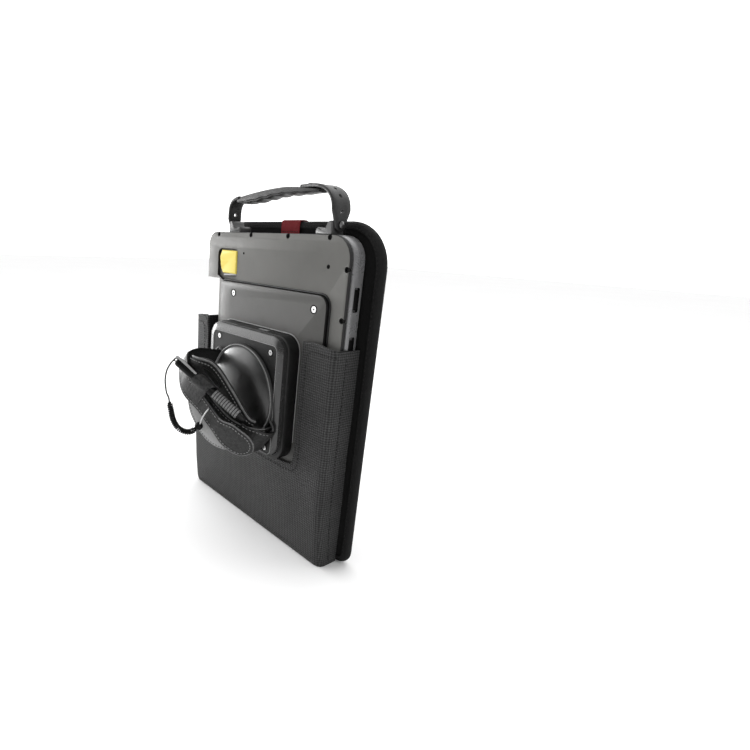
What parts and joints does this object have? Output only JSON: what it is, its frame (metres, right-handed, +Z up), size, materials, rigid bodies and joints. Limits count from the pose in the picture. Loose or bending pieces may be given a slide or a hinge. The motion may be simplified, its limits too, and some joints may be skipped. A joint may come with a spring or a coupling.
{
  "type": "tablet data collector in holster",
  "caption": "Rugged tablet data collector with scanner jacket, carry handle, swivelling hand strap, tethered stylus and pocket holster.",
  "frame": {"origin": "middle of the holster pocket's flat underside", "axes": "+X to the right seen from the hand-strap side, +Z up, +Y towards the holster's back board"},
  "size_m": [0.2115, 0.1222, 0.3234],
  "materials": {
    "cordura": "dark grey ballistic nylon weave",
    "felt": "black brushed lining",
    "tape": "black woven tape",
    "red_tape": "red woven tape",
    "silver_plastic": "silver-grey moulded plastic",
    "grey_plastic": "satin dark grey moulded plastic",
    "black_plastic": "black moulded plastic",
    "light_plastic": "light grey moulded plastic",
    "gloss_plastic": "glossy near-black plastic",
    "yellow_plastic": "yellow key",
    "steel": "screw steel",
    "glass": "dark cover glass",
    "circuit_board": "green laminate",
    "pad_leather": "dark grey grained sheet over foam",
    "light_fabric": "light grey loop fabric",
    "soft_rubber": "dark grey soft rubber"
  },
  "bodies": {
    "holster": {"holster_board": "cordura", "board_binding": "tape", "board_liner": "felt", "pocket_front": "cordura", "pocket_gusset_left": "cordura", "pocket_gusset_right": "cordura", "pocket_base": "cordura", "red_tab": "red_tape"},
    "collector": {"front_frame": "silver_plastic", "case_seal": "black_plastic", "rear_housing": "grey_plastic", "expansion_cover": "grey_plastic", "cover_screw_1": "steel", "cover_screw_2": "steel", "jacket_battery": "black_plastic", "jacket_board": "circuit_board", "scan_engine": "black_plastic", "imager_window": "glass", "dock_connector": "black_plastic", "tablet_back_shell": "silver_plastic", "tablet_glass": "glass", "lcd_panel": "black_plastic", "tablet_battery": "black_plastic", "tablet_mainboard": "circuit_board", "camera_lens": "glass", "strap_base_block": "black_plastic", "strap_base_frame": "light_plastic", "strap_face_plate": "black_plastic", "base_screw_1": "steel", "base_screw_2": "steel", "base_screw_3": "steel", "base_screw_4": "steel", "handle_foot_left": "light_plastic", "handle_foot_right": "light_plastic", "handle_pin_left": "steel", "handle_pin_right": "steel"},
    "scan_key": {"scan_button": "yellow_plastic"},
    "volume_key": {"volume_rocker": "black_plastic"},
    "power_key": {"power_button": "black_plastic"},
    "swivel": {"swivel_ring": "light_plastic", "swivel_dome": "gloss_plastic", "swivel_bolt": "steel", "strap_pad": "pad_leather", "strap_webbing": "tape", "strap_lower_band": "pad_leather", "strap_outer_band": "pad_leather", "strap_loop_panel": "light_fabric", "pen_holder": "pad_leather", "tether_coil": "black_plastic", "tether_knob": "black_plastic", "tether_cord_lower": "light_fabric"},
    "flap": {"strap_flap": "pad_leather"},
    "stylus": {"stylus_barrel": "black_plastic", "stylus_clip": "light_plastic", "stylus_tip": "soft_rubber", "tether_cord_upper": "black_plastic"},
    "handle": {"handle_grip": "soft_rubber", "handle_band_left": "soft_rubber", "handle_band_right": "soft_rubber", "handle_stud": "black_plastic"}
  },
  "joints": [
    {"name": "collector_lift", "type": "slide", "parent": "holster", "child": "collector", "axis": [0, 0, 1], "range_m": [0, 0.22]},
    {"name": "handle_hinge", "type": "hinge", "parent": "collector", "child": "handle", "pos_m": [0.0065, -0.0015, 0.2885], "axis": [1, 0, 0], "range_deg": [0, 70]},
    {"name": "strap_swivel", "type": "hinge", "parent": "collector", "child": "swivel", "pos_m": [0.005, -0.036, 0.139], "axis": [0, -1, 0], "continuous": true},
    {"name": "stylus_draw", "type": "slide", "parent": "swivel", "child": "stylus", "axis": [-0.7374, -0.4106, 0.5363], "range_m": [0, 0.062]},
    {"name": "flap_peel", "type": "hinge", "parent": "swivel", "child": "flap", "pos_m": [0.02338, -0.0729, 0.12357], "axis": [-0.6428, 0, -0.766], "range_deg": [0, 45]},
    {"name": "scan_press", "type": "slide", "parent": "collector", "child": "scan_key", "axis": [0, 1, 0], "range_m": [0, 0.0008], "stiffness_N_per_m": 900, "springref_m": -0.0012},
    {"name": "volume_rock", "type": "hinge", "parent": "collector", "child": "volume_key", "pos_m": [0.0959, 0.001, 0.233], "axis": [0, 1, 0], "range_deg": [-1.5, 1.5], "stiffness_Nm_per_rad": 0.05},
    {"name": "power_press", "type": "slide", "parent": "collector", "child": "power_key", "axis": [-1, 0, 0], "range_m": [0, 0.0004], "stiffness_N_per_m": 900, "springref_m": -0.001}
  ]
}
